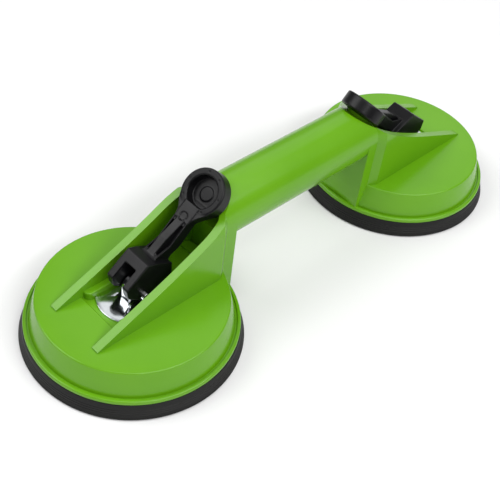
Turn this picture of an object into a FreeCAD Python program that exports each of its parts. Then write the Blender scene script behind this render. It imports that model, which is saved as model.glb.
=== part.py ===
import FreeCAD, Part
import math
import os

os.makedirs("parts", exist_ok=True)

# Twin-cup vacuum lifter: one moulded body with a handle, and two lever-worked suction cups.
# Millimetres. +X runs along the handle, +Z is up, and the origin is on the floor, midway between the cups.
# Every cup piece is drawn once in the cup frame, with the cup's axis at x = 0 and +X pointing outward, away
# from the handle. It is then moved to the right-hand cup and mirrored to the left-hand one.
# The pieces are drawn with both levers folded in over the handle, which holds the pad cores raised.

# ---- overall
cup_spacing = 212.0             # between the two cup axes
pad_radius = 60.0               # rubber rim, at its widest
pad_rim_height = 9.3            # floor to the underside of the housing's lip

# ---- housing of one cup
lip_radius = 57.3
lip_thickness = 2.6
lip_low_round = 0.5
lip_top_round = 1.2
wall_foot_radius = 54.4
disc_radius = 50.7
disc_top = 26.4                 # height of the housing's flat top
disc_edge_radius = 1.0
shell = 3.0                     # wall of the housing
recess_depth = 1.2
recess_reach = 21.7             # the recess runs from the rear wall out to here
web_count = 8                   # stiffening webs under the top
web_thickness = 2.0
web_depth = 5.0

# ---- ribs, rear wall and handle
rib_gap = 30.0                  # clear width between the two ribs
rib_thickness = 4.5
rib_reach = 37.6                # tip of the rib, outward of the cup axis
rib_tip_height = 0.8            # what is left of the rib at its tip
rib_slope = 22.8                # degrees, of the straight outer stretch of the ribs' top edge
rib_bend = 3.0                  # from here inward the top edge curves up to the handle
rear_wall_offset = 54.5         # outer face of the rear wall, inward of the cup axis
rear_wall = 3.0
flare_start = 47.5              # the rear wall's sides run straight to here,
flare_end = 43.0                # and have spread to the ribs here, inward of the cup axis
handle_radius = 16.4
handle_wall = 3.2
handle_axis_height = 58.0
mouth_top_offset = 58.7         # the mouth's cut leaves the handle's top here

# ---- bosses beside the wear plate
boss_width = 3.8
boss_height = 4.8               # above the recess floor
boss_reach = 20.6
boss_back = 20.0
boss_round = 3.0                # its upright corners

# ---- wear plate
plate_radius = 19.7
plate_thickness = 1.4
plate_side_gap = 0.2

# ---- stud, pin and backing plate
pin_radius = 2.4
pin_end_gap = 0.3               # each end of the pin to the bosses, when it is down between them
stud_width = 11.0               # along X
stud_thickness = 7.0            # along Y
stud_gap = 0.2                  # stud to its slots, each side
eye_gap = 0.05                  # pin to the stud's eye, on the radius
collar_radius = 7.1
collar_height = 1.5
tail_radius = 4.0
tail_gap = 0.05                 # tail to its hole in the backing plate, on the radius
rivet_radius = 6.0
rivet_height = 1.2
rivet_gap = 0.1
backing_radius = 30.0
backing_thickness = 2.5

# ---- rubber
core_radius = 32.0
core_thickness = 6.0
core_gap = 0.3                  # core to the pad's web
web_bottom = 1.5
web_top = 4.5
sole_width = 5.3                # of the rim's flat sole
sole_chamfer = 1.0              # from the sole's inner edge up to the web
rim_edge = 0.7                  # the sole's rounded outer edge
rim_widest = 0.9                # height at which the rim is widest
rim_foot = 2.0                  # the outer wall leans in from here up
rim_top_radius = 57.6
web_fillet = 1.0                # web to the ring's inner wall
pad_ring_inner = 46.0
pad_ring_rise = 4.0             # the pad's ring stands this far up inside the housing
pad_ring_gap = 0.2

# ---- spring and its washer
guide_boss_radius = 14.0
guide_boss_depth = 3.2          # below the recess floor
washer_radius = 12.0
washer_thickness = 1.0
washer_hole_gap = 0.4           # washer's hole to the stud's corners
spring_mean_radius = 8.6
spring_wire = 1.6
spring_turns = 3.5

# ---- lever
lever_swing = 37.0              # degrees, from folded in to upright
core_lift = 3.5                 # how far the cam raises the core
cam_height = 7.35               # pin to the folded heel flat
cam_clearance = 0.05
cam_steps = 6                   # points that the cam's spiral is drawn through
block_width = 16.4
front_flat_length = 14.8        # flat that rests on the wear plate when the lever is upright
arm_width = 10.0
web_half_width = 2.3            # the arm's raised middle web
groove_width = 1.7              # beside the web
groove_depth = 1.6
ring_radius = 12.9
ring_thickness = 8.0
ring_edge = 0.8
finger_radius = 8.9
finger_depth = 5.5
ring_offset = 42.7              # centre of the ring's face, inward of the cup axis
ring_rise = 41.3                # and above the pin
ring_tilt = 44.5                # degrees
neck_root = 20.0                # the arm starts to spread this far from the ring's centre,
neck_end = 8.0                  # and has met the ring here,
neck_spread = 10.3              # this far each side of the middle
neck_thickness = 5.0
fork_slot = 8.0                 # clear width between the fork's tines
slot_mouth = (2.4, 15.8)        # where the slot opens in the front slope
slot_length = 45.0              # longer than the block is high, below the mouth
slot_start = 20.0               # and above it

# ---- lever outlines, as (x, height above the pin)
block_top_front = (10.9, 9.0)
block_ridge = (-2.3, 19.4)
block_shoulder = (-8.0, 17.2)
block_rear = (-18.3, 11.7)
toe_round = 2.6
front_round = 1.2
ridge_round = 0.6
rear_round = 1.0
heel_round = 3.0
rim_top = [(-5.0, 15.6), (-11.8, 17.9), (-19.1, 20.1), (-29.4, 29.6), (-37.0, 36.0)]
web_rise = [(-8.0, 16.0), (-14.0, 20.4), (-18.3, 23.8), (-21.4, 25.4), (-31.4, 31.0), (-37.0, 36.0)]
arm_underside = [(-41.0, 31.3), (-31.5, 21.9), (-25.1, 15.8), (-19.8, 14.0), (-16.0, 9.0), (-8.0, 9.0)]

# ---- worked out from the sizes above
cup_x = cup_spacing / 2
lip_top = pad_rim_height + lip_thickness
recess_floor = disc_top - recess_depth
plate_top = recess_floor + plate_thickness
pin_z = plate_top + cam_height + cam_clearance
rib_inner = rib_gap / 2
rib_outer = rib_inner + rib_thickness
boss_inner = rib_inner - boss_width
pin_length = 2 * (boss_inner - pin_end_gap)
core_bottom = core_lift
core_top = core_bottom + core_thickness
backing_top = core_top + backing_thickness
guide_boss_bottom = recess_floor - guide_boss_depth
washer_bottom = guide_boss_bottom - washer_thickness
stud_eye_radius = stud_width / 2
far = 400.0                     # longer than anything here
skin = 0.5                      # how far pieces of one solid are let into each other

Z = FreeCAD.Vector(0, 0, 1)
Y = FreeCAD.Vector(0, 1, 0)
X = FreeCAD.Vector(1, 0, 0)


def vec(x, y, z):
    return FreeCAD.Vector(x, y, z)


def box(x0, x1, y0, y1, z0, z1):
    return Part.makeBox(x1 - x0, y1 - y0, z1 - z0, vec(x0, y0, z0))


def rod(radius, z0, z1, x=0.0, y=0.0):
    """Upright cylinder."""
    return Part.makeCylinder(radius, z1 - z0, vec(x, y, z0), Z)


def turned(points):
    """Solid turned about the cup axis from its half section, given as (radius, height) points."""
    wire = Part.makePolygon([vec(r, 0, z) for r, z in points] + [vec(points[0][0], 0, points[0][1])])
    return Part.Face(wire).revolve(vec(0, 0, 0), Z, 360)


def slab(edges, half_width):
    """Solid between y = -half_width and +half_width, from a closed outline of edges in the XZ plane."""
    face = Part.Face(Part.Wire(Part.__sortEdges__(edges)))
    face.translate(vec(0, -half_width, 0))
    return face.extrude(vec(0, 2 * half_width, 0))


def line(a, b):
    return Part.LineSegment(vec(a[0], 0, a[1]), vec(b[0], 0, b[1])).toShape()


def chain(points):
    """Straight edges through (x, z) points, not closed."""
    return [line(a, b) for a, b in zip(points, points[1:])]


def rounded_chain(points, radii):
    """Straight edges through (x, z) points, with an arc of its own radius at each inner point."""
    edges = []
    start = points[0]
    for before, corner, after, radius in zip(points, points[1:], points[2:], radii):
        if radius == 0:
            edges.append(line(start, corner))
            start = corner
            continue
        back = vec(before[0] - corner[0], 0, before[1] - corner[1]).normalize()
        ahead = vec(after[0] - corner[0], 0, after[1] - corner[1]).normalize()
        half = back.getAngle(ahead) / 2
        trim = radius / math.tan(half)
        middle = (back + ahead).normalize()
        centre = vec(corner[0], 0, corner[1]) + middle * (radius / math.sin(half))
        first = vec(corner[0], 0, corner[1]) + back * trim
        last = vec(corner[0], 0, corner[1]) + ahead * trim
        edges.append(line(start, (first.x, first.z)))
        edges.append(Part.Arc(first, centre - middle * radius, last).toShape())
        start = (last.x, last.z)
    edges.append(line(start, points[-1]))
    return edges


def arch(x, half_width, foot):
    """Wire of an upright opening with a round top, in the plane at x."""
    low_left = vec(x, -half_width, foot)
    low_right = vec(x, half_width, foot)
    left = vec(x, -half_width, handle_axis_height)
    right = vec(x, half_width, handle_axis_height)
    top = vec(x, 0, handle_axis_height + half_width)
    return Part.Wire([
        Part.LineSegment(low_left, low_right).toShape(),
        Part.LineSegment(low_right, right).toShape(),
        Part.Arc(right, top, left).toShape(),
        Part.LineSegment(left, low_left).toShape(),
    ])


# ---------------------------------------------------------------- body

def housing():
    """Outside of one cup's housing, solid, with its rounded lip and the groove above it."""
    outline = rounded_chain(
        [(0, pad_rim_height), (lip_radius, pad_rim_height), (lip_radius, lip_top),
         (wall_foot_radius, lip_top), (disc_radius, disc_top), (0, disc_top)],
        [lip_low_round, lip_top_round, 0, disc_edge_radius])
    outline.append(line((0, disc_top), (0, pad_rim_height)))
    face = Part.Face(Part.Wire(Part.__sortEdges__(outline)))
    return face.revolve(vec(0, 0, 0), Z, 360)


def rib_top_z(x):
    """Height of the ribs' straight top edge."""
    return disc_top + rib_tip_height + (rib_reach - x) * math.tan(math.radians(rib_slope))


def above_the_ribs():
    """Everything above the ribs' top edge, which is straight at first and then curves up to the crown."""
    bend = vec(rib_bend, 0, rib_top_z(rib_bend))
    crown = vec(-mouth_top_offset, 0, handle_axis_height + handle_radius)
    chord = crown - bend
    chord_angle = math.atan2(chord.z, -chord.x)
    turn = chord_angle - math.radians(rib_slope)
    sag = chord.Length / 2 * math.tan(turn / 2)
    across = vec(chord.z, 0, -chord.x).normalize()
    edge = Part.Arc(bend, bend + chord * 0.5 - across * sag, crown).toShape()
    past_tip = rib_reach + 2 * rib_thickness
    tip = (past_tip, rib_top_z(past_tip))
    rest = chain([(crown.x, crown.z), (crown.x, far), (past_tip, far), tip, (bend.x, bend.z)])
    return slab([edge] + rest, far)


def flared(start, half_width, end_half_width, foot):
    """Straight from start to where the flare starts, then spreading to its full width."""
    sections = [arch(-start, half_width, foot), arch(-flare_start, half_width, foot),
                arch(-flare_end, end_half_width, foot)]
    return Part.makeLoft(sections, True, True)


def rib_box():
    """The two ribs, the rear wall and the flared sides, still solid, up to the ribs' top edge."""
    foot = lip_top - lip_thickness / 2
    straight = Part.Face(arch(-flare_end, rib_outer, foot)).extrude(vec(rib_reach + flare_end, 0, 0))
    return flared(rear_wall_offset, handle_radius, rib_outer, foot).fuse(straight)


def channel():
    """The space between the ribs, open upward, with the same flare inside the rear wall."""
    flare = flared(rear_wall_offset - rear_wall, handle_radius - handle_wall, rib_inner, disc_top)
    straight = box(-flare_end, far, -rib_inner, rib_inner, disc_top, far)
    recess = box(-flare_end, recess_reach, -rib_inner, rib_inner, recess_floor, disc_top)
    return flare.fuse(straight).fuse(recess)


def bosses():
    """The low boss along each rib's foot, beside the wear plate, with a rounded outer end."""
    boss = box(-boss_back, boss_reach, boss_inner, rib_inner + skin, recess_floor - skin,
               recess_floor + boss_height)
    corners = [e for e in boss.Edges if e.BoundBox.ZLength > boss_height and e.BoundBox.YMax < rib_inner]
    boss = boss.makeFillet(boss_round, corners)
    return boss.fuse(boss.mirror(vec(0, 0, 0), Y))


def hollow_radius(z):
    """Inner radius of the housing's wall, which leans in towards the top."""
    share = (z - lip_top) / (disc_top - shell - lip_top)
    return wall_foot_radius - shell - max(share, 0) * (wall_foot_radius - disc_radius)


def housing_hollow():
    """The space inside the housing, down to the floor."""
    ceiling = disc_top - shell
    return turned([(0, -1), (hollow_radius(0), -1), (hollow_radius(lip_top), lip_top),
                   (hollow_radius(ceiling), ceiling), (0, ceiling)])


def guide_slot():
    return box(-stud_width / 2 - stud_gap, stud_width / 2 + stud_gap,
               -stud_thickness / 2 - stud_gap, stud_thickness / 2 + stud_gap, 0, disc_top + 1)


def underside():
    """Guide boss and radial stiffening webs under the housing's top."""
    parts = rod(guide_boss_radius, guide_boss_bottom, recess_floor)
    web_out = disc_radius - shell + skin
    web_low = disc_top - shell - web_depth
    for k in range(web_count):
        web = box(guide_boss_radius - 1, web_out, -web_thickness / 2, web_thickness / 2, web_low,
                  disc_top - shell + skin)
        web.rotate(vec(0, 0, 0), Z, 360 * (k + 0.5) / web_count)
        parts = parts.fuse(web)
    return parts


def body():
    middle = vec(-cup_x, 0, handle_axis_height)
    inner_face = cup_x - rear_wall_offset + rear_wall
    tube = Part.makeCylinder(handle_radius, inner_face, middle, X)
    frame = rib_box().fuse(tube).cut(above_the_ribs())
    half = housing().fuse(frame).cut(channel()).cut(housing_hollow())
    half = half.fuse(bosses()).fuse(underside()).cut(guide_slot())
    bore = Part.makeCylinder(handle_radius - handle_wall, inner_face, middle, X)
    half = half.cut(bore)
    half = half.common(box(-cup_x, far, -far, far, -far, far))
    half.translate(vec(cup_x, 0, 0))
    whole = half.fuse(half.mirror(vec(0, 0, 0), X))
    return whole.removeSplitter()


# ---------------------------------------------------------------- one cup's loose pieces

def wear_plate():
    half_width = boss_inner - plate_side_gap
    plate = rod(plate_radius, recess_floor, plate_top)
    plate = plate.common(box(-far, far, -half_width, half_width, 0, far))
    return plate.cut(guide_slot())


def pad_rim():
    """Rubber pad without its core: the floor rim, the thin web and the ring inside the housing."""
    ring_top = pad_rim_height + pad_ring_rise
    ring_outer = hollow_radius(ring_top) - pad_ring_gap
    hole = core_radius + core_gap
    sole_outer = pad_radius - rim_edge
    sole_inner = sole_outer - sole_width
    return turned([
        (hole, web_bottom), (sole_inner - sole_chamfer, web_bottom), (sole_inner, 0), (sole_outer, 0),
        (pad_radius, rim_widest), (pad_radius - rim_edge, rim_foot), (rim_top_radius, pad_rim_height),
        (ring_outer, pad_rim_height), (ring_outer, ring_top), (pad_ring_inner, ring_top),
        (pad_ring_inner, web_top + web_fillet), (pad_ring_inner - web_fillet, web_top), (hole, web_top)])


def pad_core():
    core = rod(core_radius, core_bottom, core_top)
    pocket = rod(rivet_radius + rivet_gap, core_top - rivet_height - rivet_gap, core_top)
    return core.cut(pocket)


def backing_plate():
    return rod(backing_radius, core_top, backing_top).cut(rod(tail_radius + tail_gap, core_top, backing_top))


def stud():
    """Flat bar with a round eye, a collar on the backing plate and a tail riveted under it."""
    half = stud_thickness / 2
    bar = box(-stud_width / 2, stud_width / 2, -half, half, backing_top, pin_z)
    eye = Part.makeCylinder(stud_eye_radius, 2 * half, vec(0, -half, pin_z), Y)
    hole = Part.makeCylinder(pin_radius + eye_gap, far, vec(0, -far / 2, pin_z), Y)
    collar = rod(collar_radius, backing_top, backing_top + collar_height)
    tail = rod(tail_radius, core_top - rivet_height, backing_top)
    rivet = rod(rivet_radius, core_top - rivet_height, core_top)
    return bar.fuse(eye).fuse(collar).fuse(tail).fuse(rivet).cut(hole).removeSplitter()


def washer():
    half_diagonal = math.hypot(stud_width, stud_thickness) / 2
    return rod(washer_radius, washer_bottom, guide_boss_bottom).cut(
        rod(half_diagonal + washer_hole_gap, washer_bottom, guide_boss_bottom))


def return_spring():
    """Compression spring between the backing plate and the washer."""
    height = washer_bottom - backing_top - spring_wire
    start_z = backing_top + spring_wire / 2
    helix = Part.makeHelix(height / spring_turns, height, spring_mean_radius)
    helix.translate(vec(0, 0, start_z))
    start = vec(spring_mean_radius, 0, start_z)
    section = Part.Wire(Part.makeCircle(spring_wire / 2, start, Y))
    return Part.Wire(helix.Edges).makePipeShell([section], True, True)


def cross_pin():
    return Part.makeCylinder(pin_radius, pin_length, vec(0, -pin_length / 2, pin_z), Y)


# ---------------------------------------------------------------- lever

def block_section():
    """Side outline of the fork block, as edges. Heights here are above the pin.

    The front flat rests on the wear plate when the lever is upright, and the heel flat when it is folded in.
    Between them runs a spiral whose distance from the pin falls evenly as the lever turns.
    """
    swing = math.radians(lever_swing)
    rate = core_lift / swing

    def spiral(angle):
        reach = cam_height - rate * angle
        normal = vec(math.sin(angle), 0, -math.cos(angle))
        along = vec(math.cos(angle), 0, math.sin(angle))
        return normal * reach - along * rate

    heel = spiral(0)
    knee = spiral(swing)
    toe = knee + vec(math.cos(swing), 0, math.sin(swing)) * front_flat_length
    corners = [(knee.x, knee.z), (toe.x, toe.z), block_top_front, block_ridge, block_shoulder, block_rear,
               (block_rear[0], -cam_height), (heel.x, heel.z)]
    # from the knee round the front, over the ridge and down the back to the heel
    edges = rounded_chain(corners, [toe_round, front_round, ridge_round, rear_round, rear_round, heel_round])
    curve = Part.BSplineCurve()
    curve.interpolate([spiral(swing * k / cam_steps) for k in range(cam_steps + 1)])
    edges.append(curve.toShape())
    return edges


def arm():
    """The arm between the block and the ring: two rims and a higher web between them, with grooves."""
    rims = slab(chain(rim_top + arm_underside + rim_top[:1]), arm_width / 2)
    web = slab(chain(web_rise + arm_underside + web_rise[:1]), web_half_width)
    solid = rims.fuse(web)
    floor = [(x, z - groove_depth) for x, z in rim_top[1:4]]
    above = [(x, z + ring_radius) for x, z in reversed(rim_top[1:4])]
    cutter = slab(chain(floor + above + floor[:1]), groove_width / 2)
    for side in (1, -1):
        groove = cutter.copy()
        groove.translate(Y * (side * (web_half_width + groove_width / 2)))
        solid = solid.cut(groove)
    return solid


def ring_and_neck():
    """The round finger ring, tilted over the handle, and the arm's end that spreads to meet it."""
    tilt = math.radians(ring_tilt)
    up = vec(math.sin(tilt), 0, math.cos(tilt))
    away = vec(-math.cos(tilt), 0, math.sin(tilt))
    centre = vec(-ring_offset, 0, ring_rise)
    ring = Part.makeCylinder(ring_radius, ring_thickness, centre - up * ring_thickness, up)
    ring = ring.makeFillet(ring_edge, [e for e in ring.Edges if e.Closed and len(e.Vertexes) == 1])
    root = centre - away * neck_root
    end = centre - away * neck_end
    corners = [root + Y * (arm_width / 2), root - Y * (arm_width / 2),
               end - Y * neck_spread, end + Y * neck_spread]
    neck = Part.Face(Part.makePolygon(corners + corners[:1])).extrude(up * -neck_thickness)
    finger = Part.makeCylinder(finger_radius, far, centre - up * finger_depth, up)
    return ring.fuse(neck), finger


def lever():
    ring, finger = ring_and_neck()
    solid = slab(block_section(), block_width / 2).fuse(arm()).fuse(ring).cut(finger)
    # slot for the stud: open at the front and below
    slope = math.radians(lever_swing)
    down = vec(-math.sin(slope), 0, -math.cos(slope))
    mouth = vec(slot_mouth[0], 0, slot_mouth[1])
    foot = mouth + down * slot_length
    high = mouth - down * slot_start
    slot = slab(chain([(high.x, high.z), (foot.x, foot.z), (far, foot.z), (far, high.z), (high.x, high.z)]),
                fork_slot / 2)
    solid = solid.cut(slot)
    solid.translate(vec(0, 0, pin_z))
    hole = Part.makeCylinder(pin_radius, far, vec(0, -far / 2, pin_z), Y)
    return solid.cut(hole).removeSplitter()


# ---------------------------------------------------------------- export

def check(name, shape):
    assert shape.isValid(), name + " is not valid"
    assert len(shape.Solids) == 1, name + " is not one solid"
    return shape.Solids[0]


def save(name, shape):
    check(name, shape).exportStep("parts/" + name + ".step")


save("body", body())
cup_pieces = {
    "pad_rim": pad_rim(),
    "pad_core": pad_core(),
    "backing_plate": backing_plate(),
    "stud": stud(),
    "spring_washer": washer(),
    "return_spring": return_spring(),
    "wear_plate": wear_plate(),
    "cross_pin": cross_pin(),
    "lever": lever(),
}
for piece, shape in cup_pieces.items():
    right = shape.copy()
    right.translate(vec(cup_x, 0, 0))
    save("right_" + piece, right)
    save("left_" + piece, right.mirror(vec(0, 0, 0), X))
print("pin height %.2f, cam rate %.3f mm per radian" % (pin_z, core_lift / math.radians(lever_swing)))
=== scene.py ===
import math

import bpy
from mathutils import Euler, Matrix, Vector


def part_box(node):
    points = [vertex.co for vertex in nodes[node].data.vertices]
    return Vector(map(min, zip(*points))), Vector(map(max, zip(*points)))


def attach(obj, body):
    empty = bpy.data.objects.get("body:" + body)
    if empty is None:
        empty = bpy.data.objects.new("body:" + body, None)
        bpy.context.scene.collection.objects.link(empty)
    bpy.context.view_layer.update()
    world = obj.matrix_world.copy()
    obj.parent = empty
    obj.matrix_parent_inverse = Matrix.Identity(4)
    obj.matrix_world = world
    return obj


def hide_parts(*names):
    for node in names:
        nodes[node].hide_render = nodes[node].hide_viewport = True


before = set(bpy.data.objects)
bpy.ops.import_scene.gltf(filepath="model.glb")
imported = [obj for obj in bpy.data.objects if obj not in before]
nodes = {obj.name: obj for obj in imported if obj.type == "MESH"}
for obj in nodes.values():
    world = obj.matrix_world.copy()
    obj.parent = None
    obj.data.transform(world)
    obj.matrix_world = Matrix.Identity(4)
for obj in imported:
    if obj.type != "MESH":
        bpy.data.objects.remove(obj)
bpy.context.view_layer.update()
mm = 0.001
print("frame loaded:", len(nodes), "nodes")


# places that everything is built from, read from the frame
def middle(node):
    low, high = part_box(node)
    return (low + high) / 2


cupX = middle("right_cross_pin").x        # cup axis, right-hand cup
pinZ = middle("right_cross_pin").z


class Wire:
    # one socket in a material; + - and * on it add Math nodes
    def __init__(self, finish, socket):
        self.finish = finish
        self.socket = socket

    def maths(self, operation, first, second):
        return self.finish.add("ShaderNodeMath", {"operation": operation}, {0: first, 1: second})

    def __add__(self, other):
        return self.maths("ADD", self, other)

    def __radd__(self, other):
        return self.maths("ADD", other, self)

    def __sub__(self, other):
        return self.maths("SUBTRACT", self, other)

    def __rsub__(self, other):
        return self.maths("SUBTRACT", other, self)

    def __mul__(self, other):
        return self.maths("MULTIPLY", self, other)

    def __rmul__(self, other):
        return self.maths("MULTIPLY", other, self)


class Finish:
    # one material: add() makes any node, shade() closes it with the surface shader
    def __init__(self, name):
        self.material = bpy.data.materials.new(name)
        self.material.use_nodes = True
        self.tree = self.material.node_tree
        self.tree.nodes.clear()

    def add(self, kind, settings=None, inputs=None, output=0):
        node = self.tree.nodes.new(kind)
        for key, value in (settings or {}).items():
            setattr(node, key, value)
        for key, value in (inputs or {}).items():
            if isinstance(value, Wire):
                self.tree.links.new(value.socket, node.inputs[key])
            else:
                node.inputs[key].default_value = value
        return Wire(self, node.outputs[output]) if node.outputs else None

    def place(self):
        return self.add("ShaderNodeTexCoord", output="Object")

    def noise(self, scale, detail):
        inputs = {"Vector": self.place(), "Scale": scale, "Detail": detail}
        return self.add("ShaderNodeTexNoise", {}, inputs)

    def ramp(self, value, low, high):
        inputs = {"Value": value, "From Min": low, "From Max": high}
        return self.add("ShaderNodeMapRange", {"clamp": True}, inputs)

    def mix(self, factor, first, second):
        inputs = {0: factor, 6: first, 7: second}        # 6, 7 and output 2 are the colour sockets
        return self.add("ShaderNodeMix", {"data_type": "RGBA"}, inputs, output=2)

    def bump(self, height, strength, distance):
        inputs = {"Height": height, "Strength": strength, "Distance": distance}
        return self.add("ShaderNodeBump", {}, inputs)

    def shade(self, **sockets):
        inputs = {key.replace("_", " "): value for key, value in sockets.items()}
        surface = self.add("ShaderNodeBsdfPrincipled", {}, inputs)
        self.add("ShaderNodeOutputMaterial", {}, {"Surface": surface})
        return self.material


def paint(red, green, blue):
    # screen colour, 0 to 255, as the linear colour that shaders take
    def linear(value):
        value = value / 255
        return value / 12.92 if value <= 0.04045 else ((value + 0.055) / 1.055) ** 2.4
    return (linear(red), linear(green), linear(blue), 1.0)


skinDepth = 0.0001        # metres, of the fine grain on plastic and rubber

# cloudy and grainy: how far the noise moves the roughness
greenLook = {
    "colour": (101, 161, 17), "deeper": (95, 155, 13),
    "flow": 22, "band": (0.35, 0.7),    # scale of the flow marks, and the noise values they run between
    "grain": 420, "skin": 0.03, "roughness": 0.24, "cloudy": 0.08, "grainy": 0.05, "specular": 0.38,
}
rubberLook = {
    "dark": (13, 13, 12), "light": (23, 23, 22),
    "cloud": 60, "grain": 2400, "skin": 0.15, "roughness": 0.5, "cloudy": 0.16, "specular": 0.3,
}
blackLook = {
    "dark": (8, 8, 9), "light": (16, 16, 18),
    "cloud": 90, "grain": 1800, "skin": 0.12, "roughness": 0.24, "cloudy": 0.2, "specular": 0.24,
}
metalLook = {"shade": 0.9, "least": 0.8, "spread": 0.4}


def greenPlastic():
    # glossy moulded plastic: faint flow marks, a slight orange-peel skin
    look = greenLook
    finish = Finish("greenPlastic")
    flow = finish.noise(look["flow"], 4)
    skin = finish.noise(look["grain"], 2)
    marks = finish.ramp(flow, *look["band"])
    colour = finish.mix(marks, paint(*look["deeper"]), paint(*look["colour"]))
    roughness = look["roughness"] + look["cloudy"] * (flow - 0.5) + look["grainy"] * (skin - 0.5)
    return finish.shade(Base_Color=colour, Roughness=roughness, Specular_IOR_Level=look["specular"],
                        Normal=finish.bump(skin, look["skin"], skinDepth))


def rubber():
    # matt black, cloudy and finely grained all over
    look = rubberLook
    finish = Finish("rubber")
    cloud = finish.noise(look["cloud"], 4)
    grain = finish.noise(look["grain"], 3)
    colour = finish.mix(cloud, paint(*look["dark"]), paint(*look["light"]))
    roughness = look["roughness"] + look["cloudy"] * cloud
    return finish.shade(Base_Color=colour, Roughness=roughness, Specular_IOR_Level=look["specular"],
                        Normal=finish.bump(grain, look["skin"], skinDepth))


def blackPlastic():
    # satin black: a fine moulded grain and a little sheen where hands have polished it
    look = blackLook
    finish = Finish("blackPlastic")
    cloud = finish.noise(look["cloud"], 3)
    grain = finish.noise(look["grain"], 3)
    colour = finish.mix(cloud, paint(*look["dark"]), paint(*look["light"]))
    roughness = look["roughness"] + look["cloudy"] * cloud
    return finish.shade(Base_Color=colour, Roughness=roughness, Specular_IOR_Level=look["specular"],
                        Normal=finish.bump(grain, look["skin"], skinDepth))


def metal(name, colour, roughness, scale):
    # bare or plated metal, a little duller in patches
    look = metalLook
    finish = Finish(name)
    cloud = finish.noise(scale, 3)
    duller = [int(c * look["shade"]) for c in colour]
    shade = finish.mix(cloud, paint(*duller), paint(*colour))
    patchy = roughness * (look["least"] + look["spread"] * cloud)
    return finish.shade(Base_Color=shade, Metallic=1.0, Roughness=patchy)


finishes = {
    "green_plastic": greenPlastic(),
    "rubber": rubber(),
    "black_plastic": blackPlastic(),
    "zinc_plate": metal("zincPlate", (232, 237, 241), 0.13, 300),
    "bright_steel": metal("brightSteel", (205, 206, 208), 0.13, 500),
    "plain_steel": metal("plainSteel", (150, 150, 150), 0.35, 300),
    "spring_steel": metal("springSteel", (110, 112, 116), 0.3, 300),
}
slotOf = {
    "body": "green_plastic", "pad_rim": "rubber", "pad_core": "rubber", "backing_plate": "plain_steel",
    "stud": "bright_steel", "spring_washer": "plain_steel", "return_spring": "spring_steel",
    "wear_plate": "zinc_plate", "cross_pin": "bright_steel", "lever": "black_plastic",
}


def dress(piece, slot):
    piece.data.materials.clear()
    piece.data.materials.append(finishes[slot])


for name, node in nodes.items():
    kind = name.replace("left_", "").replace("right_", "")
    dress(node, slotOf[kind])
print("finishes made")


# modelling by hand: every place below is in millimetres from the right-hand cup's axis
def only(*pieces):
    if bpy.context.mode != "OBJECT":
        bpy.ops.object.mode_set(mode="OBJECT")
    bpy.ops.object.select_all(action="DESELECT")
    for piece in pieces:
        piece.select_set(True)
    bpy.context.view_layer.objects.active = pieces[0]


def tidy(piece, angle=35, merge=0.004):
    # points closer than merge joined, normals outward, place kept in the mesh
    only(piece)
    bpy.ops.object.transform_apply(location=True, rotation=True, scale=True)
    bpy.ops.object.mode_set(mode="EDIT")
    bpy.ops.mesh.select_all(action="SELECT")
    bpy.ops.mesh.remove_doubles(threshold=merge * mm)
    bpy.ops.mesh.normals_make_consistent(inside=False)
    bpy.ops.object.mode_set(mode="OBJECT")
    bpy.ops.object.shade_smooth_by_angle(angle=math.radians(angle))
    return piece


def rounded(corners, steps=5):
    # outline through (x, z, radius) corners, each rounded to its radius
    outline = []
    for index, (x, z, radius) in enumerate(corners):
        here = Vector((x, z))
        if radius == 0:
            outline.append(here)
            continue
        back = (Vector(corners[index - 1][:2]) - here).normalized()
        ahead = (Vector(corners[(index + 1) % len(corners)][:2]) - here).normalized()
        half = back.angle(ahead) / 2
        centre = here + (back + ahead).normalized() * radius / math.sin(half)
        first = here + back * radius / math.tan(half) - centre
        last = here + ahead * radius / math.tan(half) - centre
        for step in range(steps + 1):
            outline.append(centre + first.lerp(last, step / steps).normalized() * radius)
    return outline


def trace(name, outline, close=True):
    # wire through (x, z) points at y = 0: one corner of a small plane, extruded from point to point
    bpy.ops.object.select_all(action="DESELECT")
    bpy.ops.mesh.primitive_plane_add(size=mm, location=(0, 0, 0))
    piece = bpy.context.object
    piece.name = name
    piece.data.name = name
    bpy.ops.object.mode_set(mode="EDIT")
    bpy.ops.mesh.select_all(action="SELECT")
    bpy.ops.mesh.merge(type="CENTER")
    bpy.ops.transform.translate(value=(outline[0][0] * mm, 0, outline[0][1] * mm))
    here = Vector(outline[0])
    for spot in outline[1:]:
        step = (Vector(spot) - here) * mm
        bpy.ops.mesh.extrude_vertices_move(TRANSFORM_OT_translate={"value": (step.x, 0, step.y)})
        here = Vector(spot)
    bpy.ops.mesh.select_all(action="SELECT")
    if close:
        bpy.ops.mesh.edge_face_add()
    bpy.ops.object.mode_set(mode="OBJECT")
    return piece


def slab(name, outline, low, high, edge=0.0):
    # plate of the outline's shape between y = low and y = high, its edges softened
    piece = trace(name, outline)
    bpy.ops.object.mode_set(mode="EDIT")
    bpy.ops.mesh.select_all(action="SELECT")
    bpy.ops.transform.translate(value=(0, low * mm, 0))
    bpy.ops.mesh.extrude_region_move(TRANSFORM_OT_translate={"value": (0, (high - low) * mm, 0)})
    tidy(piece)
    if edge:
        soften(piece, edge)
    return piece


def lathe(name, profile, steps=128, close=False):
    # turned about the cup's axis from (radius, height) points
    piece = trace(name, list(profile) + ([profile[0]] if close else []), close=False)
    bpy.ops.object.mode_set(mode="EDIT")
    bpy.ops.mesh.select_all(action="SELECT")
    bpy.ops.mesh.spin(steps=steps, angle=2 * math.pi, center=(0, 0, 0), axis=(0, 0, 1))
    return tidy(piece)


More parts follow.
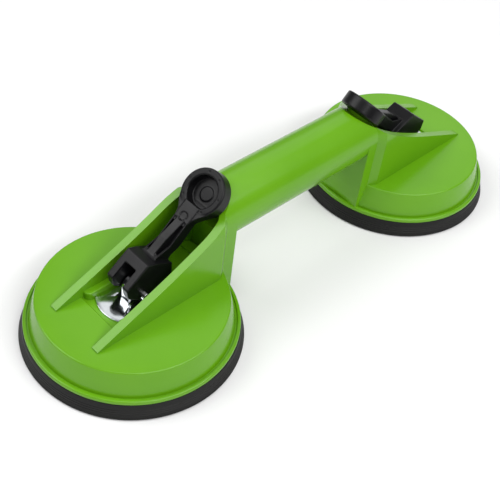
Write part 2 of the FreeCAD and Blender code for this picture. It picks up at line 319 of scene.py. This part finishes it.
def soften(piece, width, segments=2, angle=35):
    only(piece)
    bevel = piece.modifiers.new("edge", "BEVEL")
    bevel.width = width * mm
    bevel.segments = segments
    bevel.limit_method = "ANGLE"
    bevel.angle_limit = math.radians(angle)
    bpy.ops.object.modifier_apply(modifier=bevel.name)
    return tidy(piece)


def combine(piece, other, operation):
    # the other piece is used up
    only(piece)
    modifier = piece.modifiers.new("join", "BOOLEAN")
    modifier.operation = operation
    modifier.solver = "EXACT"
    modifier.object = other
    bpy.ops.object.modifier_apply(modifier=modifier.name)
    only(other)
    bpy.ops.object.delete()
    only(piece)
    return piece


def block(name, low, high):
    # box between two corners
    outline = [(low[0], low[2]), (high[0], low[2]), (high[0], high[2]), (low[0], high[2])]
    return slab(name, outline, low[1], high[1])


def flat(name, outline, low, high):
    # plate lying flat, of an outline of (x, y) points, between two heights
    piece = slab(name, [(x, -y) for x, y in outline], low, high)
    piece.rotation_euler = (math.pi / 2, 0, 0)
    return tidy(piece)


def turn(piece, angle, place):
    # turned about Y, then moved, with both kept in the mesh
    only(piece)
    piece.rotation_euler = (0, math.radians(angle), 0)
    piece.location = Vector(place) * mm
    return tidy(piece)


def toCup(piece):
    only(piece)
    piece.location = (cupX, 0, 0)
    return tidy(piece)


def hand(kind, piece, body, slot):
    # names the right-hand piece, gives it its finish and body, and makes its left-hand mirror copy
    toCup(piece)
    only(piece)
    bpy.ops.object.duplicate()
    twin = bpy.context.object
    twin.scale.x = -1
    tidy(twin)
    for side, one in (("right", piece), ("left", twin)):
        one.name = side + kind[0].upper() + kind[1:]
        one.data.name = one.name
        node = side + "_" + "".join("_" + c.lower() if c.isupper() else c for c in kind)
        dress(one, slot)
        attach(one, body if body == "frame" else side + "_" + body)
        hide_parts(node)
    print(kind, "made:", len(piece.data.polygons), "faces")


# body: two housings, four ribs and the handle, moulded in one
bodyLook = {
    "lip": 57.3, "lipLow": 9.3, "lipTop": 11.9, "lipDraft": 0.1,
    "lipRound": (0.2, 1.0, 0.5),        # beside the groove, at the crest and underneath
    "grooveWidth": 0.9, "grooveDepth": 0.9,
    "wallFoot": 54.4, "disc": 50.7, "discTop": 26.4, "discEdge": 1.0, "shell": 3.0,
    "recessFloor": 25.2, "recessReach": 21.7, "recessEdge": 0.7,
    "slot": (5.7, 3.7, 40),             # half length, half width, and how high its cutter stands
    "ribInner": 15.0, "ribOuter": 19.5, "ribReach": 37.6, "ribTip": 0.8, "ribEdge": 0.5,
    "ribSlope": 22.8, "ribBend": 3.0,   # degrees, and where the slope turns into the arc
    "ribSink": 0.8,                     # into the housing, below the recess's floor
    "rearWall": 54.5, "wall": 3.0, "flareStart": 47.5, "flareEnd": 43.0, "foot": 10.6,
    "handle": 16.4, "bore": 13.2, "axis": 58.0, "crown": 58.7, "tubeSides": 96,
    "bossInner": 11.2, "bossTop": 30.0, "bossOut": 20.6, "bossBack": -20.0,
    "bossSink": 0.4, "bossCorner": 3.2, "bossEdge": 0.6,
    "guide": (14.0, 22.0, 24.6),        # radius, foot and top
    "hair": 0.02, "boreHair": 0.05,     # kept between faces that would lie in one plane
    "sliver": 0.02,                     # narrowest face left on the ribs before they are joined on
    "overlap": 1.0, "past": 10, "cutterHalf": 60, "cutterTop": 110,     # of cutters and joined parts
}


def housing():
    look = bodyLook
    inner = look["wallFoot"] - look["shell"]
    ceiling = look["discTop"] - look["shell"]
    groove = look["lipTop"] - look["grooveDepth"]
    bank = look["wallFoot"] + look["grooveWidth"]
    beside, crest, under = look["lipRound"]
    corners = [(0, look["discTop"], 0), (look["disc"], look["discTop"], look["discEdge"]),
               (look["wallFoot"], groove, 0), (bank, groove, 0),
               (bank + look["lipDraft"], look["lipTop"], beside),
               (look["lip"], look["lipTop"], crest), (look["lip"], look["lipLow"], under),
               (inner, look["lipLow"], 0), (inner, look["lipTop"], 0),
               (look["disc"] - look["shell"], ceiling, 0), (0, ceiling, 0)]
    return lathe("housing", rounded(corners))


def acrossX(piece):
    # turned from the XZ plane to the YZ plane
    only(piece)
    piece.rotation_euler = (0, 0, math.pi / 2)
    bpy.ops.object.transform_apply(location=False, rotation=True, scale=False)


def arched(name, radius, start, wide, foot, reach):
    # upright arch, run straight, spread to its full width and run on to its reach
    look = bodyLook
    steps = 40
    outline = [(radius, foot)]
    for step in range(steps + 1):
        angle = math.pi * step / steps
        outline.append((radius * math.cos(angle), look["axis"] + radius * math.sin(angle)))
    outline.append((-radius, foot))
    piece = trace(name, outline)
    acrossX(piece)
    bpy.ops.object.mode_set(mode="EDIT")
    bpy.ops.mesh.select_all(action="SELECT")
    bpy.ops.transform.translate(value=(-start * mm, 0, 0))
    here = -start
    for place, spread in ((-look["flareStart"], 1), (-look["flareEnd"], wide / radius), (reach, 1)):
        bpy.ops.mesh.extrude_region_move(TRANSFORM_OT_translate={"value": ((place - here) * mm, 0, 0)})
        centre = (place * mm, 0, look["axis"] * mm)
        bpy.ops.transform.resize(value=(1, spread, spread), center_override=centre)
        here = place
    return tidy(piece)


def tube(name, radius, end):
    # round bar along X, from past the middle of the handle to its end near the cup
    look = bodyLook
    length = cupX / mm + look["past"] - end
    bpy.ops.object.select_all(action="DESELECT")
    bpy.ops.mesh.primitive_cylinder_add(
        vertices=look["tubeSides"], radius=radius * mm, depth=length * mm,
        rotation=(0, math.pi / 2, 0), location=((-end - length / 2) * mm, 0, look["axis"] * mm))
    piece = bpy.context.object
    piece.name = name
    return tidy(piece)


def topCutter():
    # everything above the ribs' top edge: straight, then an arc up to the crown of the handle
    look = bodyLook
    slope = math.radians(look["ribSlope"])
    bend = Vector((look["ribBend"], look["discTop"] + look["ribTip"]
                   + (look["ribReach"] - look["ribBend"]) * math.tan(slope)))
    crown = Vector((-look["crown"], look["axis"] + look["handle"]))
    chord = crown - bend
    turned = math.atan2(chord.y, -chord.x) - slope
    radius = chord.length / (2 * math.sin(turned))
    centre = bend + Vector((math.sin(slope), math.cos(slope))) * radius
    tip = look["ribReach"] + look["past"]
    outline = [(tip, bend.y - (tip - bend.x) * math.tan(slope))]
    steps = 28
    for step in range(steps + 1):
        angle = slope + 2 * turned * step / steps
        outline.append(centre - Vector((math.sin(angle), math.cos(angle))) * radius)
    outline += [(crown.x, look["cutterTop"]), (tip, look["cutterTop"])]
    return slab("topCutter", outline, -look["cutterHalf"], look["cutterHalf"])


def ribPair():
    # a cup's two ribs and rear wall: an arch, hollowed, cut to the slope and fitted to the housing
    look = bodyLook
    back = look["rearWall"] - look["wall"]
    ribs = arched("ribs", look["handle"], look["rearWall"], look["ribOuter"], look["foot"], look["ribReach"])
    channel = arched("channel", look["bore"], back, look["ribInner"],
                     look["foot"] - 2 * look["overlap"], look["ribReach"] + 3 * look["past"])
    combine(ribs, channel, "DIFFERENCE")
    bore = tube("boreCutter", look["bore"] + look["boreHair"], back - look["overlap"])
    combine(ribs, bore, "DIFFERENCE")
    combine(ribs, topCutter(), "DIFFERENCE")
    soften(ribs, look["ribEdge"], segments=3)
    tidy(ribs, merge=look["sliver"])
    inner = look["wallFoot"] - look["shell"] + look["overlap"]
    level = look["recessFloor"] - look["ribSink"]
    hollow = lathe("hollow", [(0, 0), (inner, 0), (inner, look["lipTop"]),
                              (look["disc"] - 2 * look["overlap"], level), (0, level)])
    return combine(ribs, hollow, "DIFFERENCE")


def gripHalf():
    # the handle from past its middle, hollow, its end cut to the ribs' arc
    look = bodyLook
    grip = tube("grip", look["handle"] - look["hair"], look["rearWall"] - 2 * look["overlap"])
    combine(grip, tube("boreCutter", look["bore"], look["rearWall"] - 8 * look["overlap"]), "DIFFERENCE")
    return combine(grip, topCutter(), "DIFFERENCE")


def recessCutter():
    # flat-bottomed, its front edge rounded over
    look = bodyLook
    edge = look["recessEdge"]
    reach = look["recessReach"]
    top = look["discTop"] + look["overlap"]
    half = look["ribInner"] - look["hair"]
    outline = [(-look["flareEnd"], look["recessFloor"]), (reach, look["recessFloor"])]
    for degrees in range(0, 90, 15):
        angle = math.radians(degrees)
        outline.append((reach + edge - edge * math.cos(angle),
                        look["discTop"] - edge + edge * math.sin(angle)))
    outline += [(reach + edge, top), (-look["flareEnd"], top)]
    return slab("recess", outline, -half, half)


def addBosses(piece):
    # one each side of the slot, its inner front corner rounded
    look = bodyLook
    back, front = look["bossBack"], look["bossOut"]
    for side in (1, -1):
        inner = side * look["bossInner"]
        outer = side * (look["ribInner"] + look["overlap"])
        outline = rounded([(back, inner, 0), (front, inner, look["bossCorner"]),
                           (front, outer, 0), (back, outer, 0)], steps=8)
        boss = flat("boss", outline, look["recessFloor"] - look["bossSink"], look["bossTop"])
        soften(boss, look["bossEdge"], segments=3, angle=50)
        combine(piece, boss, "UNION")


def cup():
    # housing with its recess, bosses, guide and slot
    piece = housing()
    combine(piece, recessCutter(), "DIFFERENCE")
    addBosses(piece)
    radius, low, high = bodyLook["guide"]
    guide = lathe("guide", [(0, low), (radius, low), (radius, high), (0, high)])
    combine(piece, guide, "UNION")
    reach, half, top = bodyLook["slot"]
    return combine(piece, block("slot", (-reach, -half, 0), (reach, half, top)), "DIFFERENCE")


def body():
    ribs = ribPair()
    grip = gripHalf()
    piece = cup()
    combine(piece, ribs, "UNION")
    combine(piece, grip, "UNION")
    toCup(piece)
    mirror = piece.modifiers.new("twin", "MIRROR")
    mirror.use_bisect_axis[0] = True
    mirror.merge_threshold = 0.01 * mm
    bpy.ops.object.modifier_apply(modifier=mirror.name)
    piece.name = "mouldedBody"
    piece.data.name = piece.name
    tidy(piece, angle=32)
    dress(piece, "green_plastic")
    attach(piece, "frame")
    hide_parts("body")
    print("body made:", len(piece.data.polygons), "faces")


# rubber pads: the rim with its fine mould rings, and the thick core
padLook = {
    "reach": 60.0, "foot": 59.3, "sole": 54.0, "top": 57.6, "height": 9.3, "hole": 32.3,
    "bead": (0.9, 2.0, 0.1),            # height of the widest place and of its end, and the step there
    "web": (1.5, 4.5), "slant": 1,      # its underside and top, and the slopes that lead to it
    "ring": (46.0, 51.0, 13.2),         # inside and outside radius, and top
    "rings": (3.3, 4.7, 6.1), "ringDepth": 0.35, "ringHalf": 0.3, "steps": 160,
    "core": (32.0, 3.5, 9.5), "coreRings": (6, 12, 18, 24), "coreGroove": (0.5, 0.3), "pocket": (6.1, 1.3),
}


def padRim():
    look = padLook
    inner, outer, rise = look["ring"]
    low, high = look["web"]
    foot, half, slant = look["foot"], look["ringHalf"], look["slant"]
    widest, above, step = look["bead"]
    wall = [(foot, 0.0, 0.5), (look["reach"], widest, 0.3), (foot + step, above, 0.3)]
    lean = (foot - look["top"]) / (look["height"] - above)
    for ring in look["rings"]:
        for lift, depth in ((-half, 0.0), (0.0, look["ringDepth"]), (half, 0.0)):
            height = ring + lift
            wall.append((foot - (height - above) * lean - depth, height, 0))
    wall += [(look["top"], look["height"], 0.3), (outer, look["height"], 0), (outer, rise, 0),
             (inner, rise, 0), (inner, high + slant, 0.6), (inner - slant, high, 0),
             (look["hole"], high, 0), (look["hole"], low, 0),
             (look["sole"] - slant, low, 0.4), (look["sole"], 0, 0.4)]
    return lathe("padRim", rounded(wall, steps=3), steps=look["steps"], close=True)


def padCore():
    # grooves in its sole, and a pocket on top for the rivet
    look = padLook
    radius, low, high = look["core"]
    half, depth = look["coreGroove"]
    pocket, sunk = look["pocket"]
    profile = [(0, low, 0)]
    for ring in look["coreRings"]:
        profile += [(ring - half, low, 0), (ring, low + depth, 0), (ring + half, low, 0)]
    profile += [(radius, low, 0.5), (radius, high, 0.4),
                (pocket, high, 0), (pocket, high - sunk, 0), (0, high - sunk, 0)]
    return lathe("padCore", rounded(profile, steps=3))


# wear plate: bright zinc, its edge broken all round
plateLook = {
    "radius": 19.7, "half": 11.0, "low": 25.2, "high": 26.6, "edge": 0.22, "slot": (5.7, 3.7), "steps": 160,
    "cutter": (30, 20, 30),             # half length, foot and top
}


def wearPlate():
    look = plateLook
    radius, bottom, top = look["radius"], look["low"], look["high"]
    far, under, over = look["cutter"]
    profile = [(0, bottom, 0), (radius, bottom, 0.2), (radius, top, 0.3), (0, top, 0)]
    piece = lathe("wearPlate", rounded(profile, steps=3), steps=look["steps"])
    for side in (1, -1):
        low, high = sorted((side * look["half"], side * far))
        combine(piece, block("trim", (-far, low, under), (far, high, over)), "DIFFERENCE")
    reach, half = look["slot"]
    combine(piece, block("slot", (-reach, -half, under), (reach, half, over)), "DIFFERENCE")
    return soften(piece, look["edge"])


# stud: flat bar with a round eye, a collar and a tail riveted under the backing plate
studLook = {
    "width": 11.0, "half": 3.5, "edge": 0.7, "tail": 4.0, "sides": 64,
    "collar": (7.1, 12.0, 13.5),        # radius, foot and top
    "rivet": (6.0, 8.3, 9.5),           # radius, foot and top
}


def stud():
    look = studLook
    radius = look["width"] / 2
    tail = look["tail"]
    collar, collarLow, collarTop = look["collar"]
    rivet, rivetLow, rivetTop = look["rivet"]
    centre = pinZ / mm
    steps = 24
    outline = [(-radius, collarLow), (radius, collarLow)]
    for step in range(steps + 1):
        angle = math.pi * step / steps
        outline.append((radius * math.cos(angle), centre + radius * math.sin(angle)))
    piece = slab("stud", outline, -look["half"], look["half"], look["edge"])
    foot = [(0, rivetLow, 0), (rivet, rivetLow, 0.3), (rivet, rivetTop, 0), (tail, rivetTop, 0),
            (tail, collarLow, 0), (collar, collarLow, 0.2), (collar, collarTop, 0.4), (0, collarTop, 0)]
    return combine(piece, lathe("foot", rounded(foot, steps=3), steps=look["sides"]), "UNION")


# cross pin: ground bar with chamfered ends and a shallow centre mark in each
pinLook = {"radius": 2.4, "half": 10.9, "edge": 0.4, "mark": 0.7, "markDepth": 0.4, "sides": 48}


def crossPin():
    look = pinLook
    radius, half, mark, edge = look["radius"], look["half"], look["mark"], look["edge"]
    end = half - look["markDepth"]
    profile = [(0, -end, 0), (mark, -half, 0), (radius, -half, edge),
               (radius, half, edge), (mark, half, 0), (0, end, 0)]
    piece = lathe("crossPin", rounded(profile, steps=3), steps=look["sides"])
    piece.rotation_euler = (math.pi / 2, 0, 0)
    piece.location = (0, 0, pinZ)
    return tidy(piece)


# lever: fork block with its cam, arm with a raised web, and the round finger ring
leverLook = {                           # heights are above the pin
    "half": 8.2, "edge": 0.45, "armHalf": 5.0, "webHalf": 2.4, "webHair": 0.1,
    "swing": 37.0, "lift": 3.5, "cam": 7.35, "flat": 14.8,
    "front": (10.9, 9.0), "ridge": (-2.3, 19.4), "shoulder": (-8.0, 17.2), "rear": -18.3, "rearTop": 11.7,
    "slotHalf": 4.0, "slotMouth": (2.4, 15.8), "slotLength": 45.0, "slotAbove": 20, "slotAhead": 60,
    "ring": (-42.7, 41.3), "tilt": 44.5, "radius": 12.9, "thick": 8.0, "finger": 8.9, "depth": 5.5,
    "hub": (3.7, 4.1, 0.5), "ringSides": 96,        # top and foot radius of the raised middle, its height
    "neck": [(20, 4.9), (18, 5.0), (16, 5.4), (14, 6.2), (12, 7.6), (10, 9.2), (8, 10.4), (5, 11.4)],
    "neckRise": 5.0, "neckPivot": 9, "neckDrop": 0.1, "neckThick": 5,
    "grooveOut": 4.1, "grooveDeep": 2.2, "grooveClear": 12,
    "rims": [(-5, 15.6, 0), (-11.8, 17.9, 4), (-19.1, 20.1, 3), (-29.4, 29.6, 2), (-37, 36, 0)],
    "web": [(-7, 15, 0), (-14, 20.4, 3), (-18.3, 23.8, 3), (-21.4, 25.4, 4), (-31.4, 31.0, 3), (-37, 36, 0)],
    "under": [(-40.5, 31.9, 0), (-31.5, 22.6, 2), (-25.1, 16.2, 3), (-19.8, 14.0, 2),
              (-16, 9, 0), (-8, 9, 0)],
    "dimples": (-38, 52, 98, 163, 205, 262),        # bearings round the ring, in degrees
    "dimple": (0.6, 0.45, 0.05), "dimpleSides": 16, # radius, depth in the middle, clearance at the edge
    "mark": (15.6, 2.0, 2.55, 0.1), "markTop": 3, "markSides": 48,  # place, both radii and depth
    "voxel": 0.26, "ease": (0.5, 3), "keep": 0.4,
}


def raised(corners):
    # corners given above the pin, at their height from the floor
    return [(x, z + pinZ / mm, *rest) for x, z, *rest in corners]


def camPoint(angle):
    # the cam's edge at a turn of the lever: a spiral that rises evenly with it
    look = leverLook
    rate = look["lift"] / math.radians(look["swing"])
    reach = look["cam"] - rate * angle
    return (math.sin(angle) * reach - math.cos(angle) * rate,
            -math.cos(angle) * reach - math.sin(angle) * rate)


def forkBlock():
    look = leverLook
    swing = math.radians(look["swing"])
    knee = camPoint(swing)
    toe = (knee[0] + math.cos(swing) * look["flat"], knee[1] + math.sin(swing) * look["flat"])
    corners = [(*knee, 0), (*toe, 2.6), (*look["front"], 1.2), (*look["ridge"], 0.8),
               (*look["shoulder"], 1.2), (look["rear"], look["rearTop"], 1.2),
               (look["rear"], -look["cam"], 3.0)]
    steps = 8
    outline = rounded(raised(corners))
    for step in range(steps):
        x, z = camPoint(swing * step / steps)
        outline.append((x, z + pinZ / mm))
    return slab("lever", outline, -look["half"], look["half"], look["edge"])


def toRing(piece):
    # from the cup's axis to the finger ring's place and tilt
    x, z = leverLook["ring"]
    return turn(piece, leverLook["tilt"], (x, 0, z + pinZ / mm))


def ringNeck():
    # the arm's widening end, raised a little, with the finger cup cut clear
    look = leverLook
    outline = look["neck"] + [(x, -y) for x, y in reversed(look["neck"])]
    neck = trace("neck", outline)
    neck.rotation_euler = (-math.pi / 2, 0, 0)
    bpy.ops.object.transform_apply(location=False, rotation=True, scale=False)
    bpy.ops.object.mode_set(mode="EDIT")
    bpy.ops.mesh.select_all(action="SELECT")
    bpy.ops.transform.translate(value=(0, 0, -look["neckDrop"] * mm))
    bpy.ops.mesh.extrude_region_move(TRANSFORM_OT_translate={"value": (0, 0, -look["neckThick"] * mm)})
    bpy.ops.mesh.select_all(action="SELECT")
    pivot = (look["neckPivot"] * mm, 0, 0)
    bpy.ops.transform.rotate(value=math.radians(look["neckRise"]), orient_axis="Y", center_override=pivot)
    tidy(neck)
    finger = look["finger"]
    floor = look["neckDrop"] - look["depth"]
    cutter = lathe("cup", [(0, floor), (finger, floor), (finger, 2), (0, 2)], steps=look["ringSides"])
    return combine(neck, cutter, "DIFFERENCE")


def fingerRing():
    look = leverLook
    radius, finger = look["radius"], look["finger"]
    floor = -look["depth"]
    hubTop, hubFoot, rise = look["hub"]
    profile = [(0, floor + rise, 0), (hubTop, floor + rise, 0), (hubFoot, floor, 0),
               (finger - 0.5, floor, 0.5), (finger, -0.5, 0), (finger + 0.5, 0, 0.3),
               (radius, 0, 0.9), (radius, -look["thick"], 0.8), (0, -look["thick"], 0)]
    piece = lathe("ring", rounded(profile, steps=4), steps=look["ringSides"])
    combine(piece, ringNeck(), "UNION")
    return toRing(piece)


def leverArm():
    # two rims with grooves between them and the raised web
    look = leverLook
    half = look["armHalf"]
    rims = slab("rims", rounded(raised(look["rims"] + look["under"]), steps=4), -half, half)
    floor = [(x, z - look["grooveDeep"]) for x, z, radius in look["rims"][1:4]]
    groove = raised(floor + [(x, z + look["grooveClear"]) for x, z in reversed(floor)])
    for side in (1, -1):
        low, high = sorted((side * look["webHalf"], side * look["grooveOut"]))
        combine(rims, slab("groove", groove, low, high), "DIFFERENCE")
    half = look["webHalf"] + look["webHair"]
    web = slab("web", rounded(raised(look["web"] + look["under"]), steps=4), -half, half)
    return combine(rims, web, "UNION")


def slotCutter():
    # open to the front, square to the lever's upright position
    look = leverLook
    slope = math.radians(look["swing"])
    down = Vector((-math.sin(slope), -math.cos(slope)))
    mouth = Vector(look["slotMouth"])
    foot = mouth + down * look["slotLength"]
    high = mouth - down * look["slotAbove"]
    outline = raised([tuple(high), tuple(foot), (look["slotAhead"], foot.y), (look["slotAhead"], high.y)])
    return slab("slot", outline, -look["slotHalf"], look["slotHalf"])


def pressMarks(piece):
    # dimples round the ring's face, and the mould's round mark on the neck
    look = leverLook
    reach = (look["radius"] + look["finger"]) / 2
    radius, deep, clear = look["dimple"]
    for degrees in look["dimples"]:
        profile = [(0, -deep), (radius, clear), (radius, 1), (0, 1)]
        dimple = lathe("dimple", profile, steps=look["dimpleSides"])
        bearing = math.radians(degrees)
        dimple.location = (reach * math.cos(bearing) * mm, reach * math.sin(bearing) * mm, 0)
        combine(piece, toRing(tidy(dimple)), "DIFFERENCE")
    along, inside, outside, deep = look["mark"]
    top = look["markTop"]
    profile = [(inside, -deep), (outside, -deep), (outside, top), (inside, top)]
    mark = lathe("mark", profile, steps=look["markSides"], close=True)
    mark.location.x = along * mm
    combine(piece, toRing(tidy(mark)), "DIFFERENCE")


def melt(piece):
    # joins run together as in a moulding: remeshed, eased, then thinned
    look = leverLook
    remesh = piece.modifiers.new("melt", "REMESH")
    remesh.mode = "VOXEL"
    remesh.voxel_size = look["voxel"] * mm
    bpy.ops.object.modifier_apply(modifier=remesh.name)
    ease = piece.modifiers.new("ease", "SMOOTH")
    ease.factor, ease.iterations = look["ease"]
    bpy.ops.object.modifier_apply(modifier=ease.name)
    thin = piece.modifiers.new("thin", "DECIMATE")
    thin.ratio = look["keep"]
    bpy.ops.object.modifier_apply(modifier=thin.name)
    return tidy(piece, angle=60)


def lever():
    piece = forkBlock()
    combine(piece, leverArm(), "UNION")
    combine(piece, fingerRing(), "UNION")
    combine(piece, slotCutter(), "DIFFERENCE")
    pressMarks(piece)
    return melt(piece)


body()
hand("padRim", padRim(), "frame", "rubber")
hand("padCore", padCore(), "core", "rubber")
hand("wearPlate", wearPlate(), "frame", "zinc_plate")
hand("stud", stud(), "core", "bright_steel")
hand("crossPin", crossPin(), "lever", "bright_steel")
hand("lever", lever(), "lever", "black_plastic")


# stage: the camera, a pale floor and four softboxes
cameraLook = {
    "place": (-0.31578, -0.25760, 0.40063),
    "azimuth": -48.92,      # degrees about Z from looking along +Y
    "elevation": 45.18,     # degrees below the horizon
    "roll": 8.156,
    "lens": 69.04,
}
floorLook = {"size": 12, "drop": 0.0002, "darker": 0.8, "paler": 0.83, "roughness": 0.9, "cloud": 3}
lightLook = {
    "sky": 0.2,
    "overhead": {"place": (0.0, -0.55, 1.8), "size": (2.4, 1.5), "radiance": 1.9},
    "strip": {"place": (0.0, -1.6, 1.62), "size": (2.4, 0.4), "radiance": 9.0},
    "left": {"place": (-0.95, 0.95, 1.5), "size": (1.3, 1.1), "radiance": 4.1},
    "back": {"place": (1.15, 0.95, 1.5), "size": (1.5, 1.5), "radiance": 0.85},
}


def addCamera():
    tilt = Euler((math.radians(90 - cameraLook["elevation"]), 0, math.radians(cameraLook["azimuth"])))
    facing = tilt.to_matrix() @ Matrix.Rotation(math.radians(cameraLook["roll"]), 3, "Z")
    bpy.ops.object.camera_add(location=cameraLook["place"], rotation=facing.to_euler())
    camera = bpy.context.object
    camera.data.lens = cameraLook["lens"]
    camera.data.sensor_width = 36
    camera.data.clip_start = 0.01
    bpy.context.scene.camera = camera


def addFloor():
    look = floorLook
    bpy.ops.mesh.primitive_plane_add(size=look["size"], location=(0, 0, -look["drop"]))
    floor = bpy.context.object
    floor.name = "studioFloor"
    finish = Finish("paleFloor")
    cloud = finish.noise(look["cloud"], 2)
    darker, paler = [(look[shade], look[shade], look[shade], 1) for shade in ("darker", "paler")]
    colour = finish.mix(cloud, darker, paler)
    floor.data.materials.append(finish.shade(Base_Color=colour, Roughness=look["roughness"]))


def addLight():
    world = bpy.data.worlds.new("studio")
    bpy.context.scene.world = world
    world.use_nodes = True
    sky = world.node_tree.nodes["Background"]
    sky.inputs["Color"].default_value = (1, 1, 1, 1)
    sky.inputs["Strength"].default_value = lightLook["sky"]
    for name in ("overhead", "strip", "left", "back"):
        look = lightLook[name]
        place = Vector(look["place"])
        aim = place.to_track_quat("Z", "Y").to_euler()
        bpy.ops.object.light_add(type="AREA", location=place, rotation=aim)
        softbox = bpy.context.object
        softbox.name = name + "Softbox"
        softbox.data.shape = "RECTANGLE"
        wide, high = look["size"]
        softbox.data.size = wide
        softbox.data.size_y = high
        softbox.data.energy = look["radiance"] * math.pi * wide * high


addCamera()
addFloor()
addLight()
bpy.context.scene.view_settings.view_transform = "Standard"
print("stage set")
